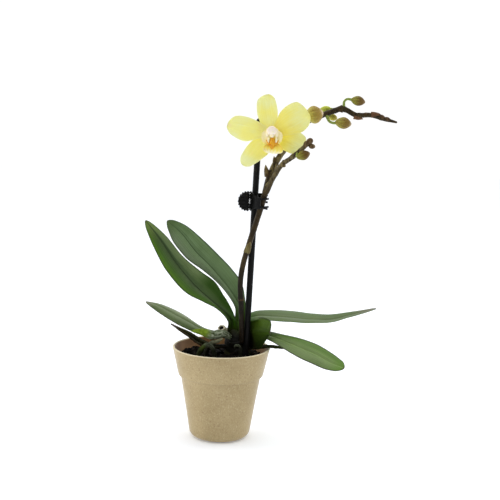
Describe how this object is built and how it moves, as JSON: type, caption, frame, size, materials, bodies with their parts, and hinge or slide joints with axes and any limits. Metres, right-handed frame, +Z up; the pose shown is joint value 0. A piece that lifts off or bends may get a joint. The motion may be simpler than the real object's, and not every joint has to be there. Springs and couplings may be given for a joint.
{
  "type": "potted orchid",
  "caption": "Small moth orchid with strap leaves and a flower stalk tied by a toothed clip to a support rod, growing in bark in a tapered round pot",
  "frame": {"origin": "centre of the flat underside of the pot", "axes": "+Z is up. The front, where the flower faces, is toward -Y, and the flower stalk leans toward +X."},
  "size_m": [0.1915, 0.0846, 0.2674],
  "materials": {
    "pot": "matte plant-fibre composite, tan, with fine pale and brown specks",
    "bark": "dark damp bark chips, rough",
    "stem": "dark green plant tissue with dry brown leaf sheaths",
    "leaf": "thick leathery green leaf, satin, paler and duller underneath",
    "old_leaf": "dying leaf, dark purple-brown, dull and wrinkled",
    "root": "spongy silver-green root skin, matt, green at the growing tips",
    "spike": "smooth dark purple-brown stalk with a few pale specks, satin",
    "bud": "soft yellow-green plant tissue with brown speckling, satin",
    "petal": "thin soft lemon-yellow petal, faintly veined, lets light through",
    "lip": "waxy white with orange and yellow marks",
    "stake": "black coated rod, satin",
    "clip": "moulded black plastic",
    "steel": "plain spring wire"
  },
  "bodies": {
    "plant": {"pot": "pot", "growing_medium": "bark", "stem_base": "stem", "leaf_upper_left_front": "leaf", "leaf_upper_left_back": "leaf", "leaf_low_left": "leaf", "leaf_old_left": "old_leaf", "leaf_right_high": "leaf", "leaf_right_low": "leaf", "leaf_short_front": "leaf", "leaf_old_right": "old_leaf", "root_silver_left": "root", "root_cream_tip": "root", "root_diving": "root", "root_curled": "root", "root_cut_stub": "root", "flower_spike": "spike", "bud_beside_flower": "bud", "bud_over_rachis": "bud", "bud_under_rachis": "bud", "bud_pale_small": "bud", "bud_behind_rachis": "bud", "bud_on_branch": "bud", "flower_pedicel": "bud", "sepal_dorsal": "petal", "sepal_lateral_left": "petal", "sepal_lateral_right": "petal", "petal_left": "petal", "petal_right": "petal", "lip": "lip", "column": "lip", "stake": "stake", "clip_back": "clip", "clip_pin": "steel", "clip_spring": "steel"},
    "clip_jaw": {"clip_front": "clip"}
  },
  "joints": [
    {"name": "clip_hinge", "type": "hinge", "parent": "plant", "child": "clip_jaw", "pos_m": [0.0192, -0.0026, 0.1859], "axis": [0, 0, -1], "range_deg": [0, 28], "stiffness_Nm_per_rad": 0.004, "springref_deg": -60.16}
  ]
}
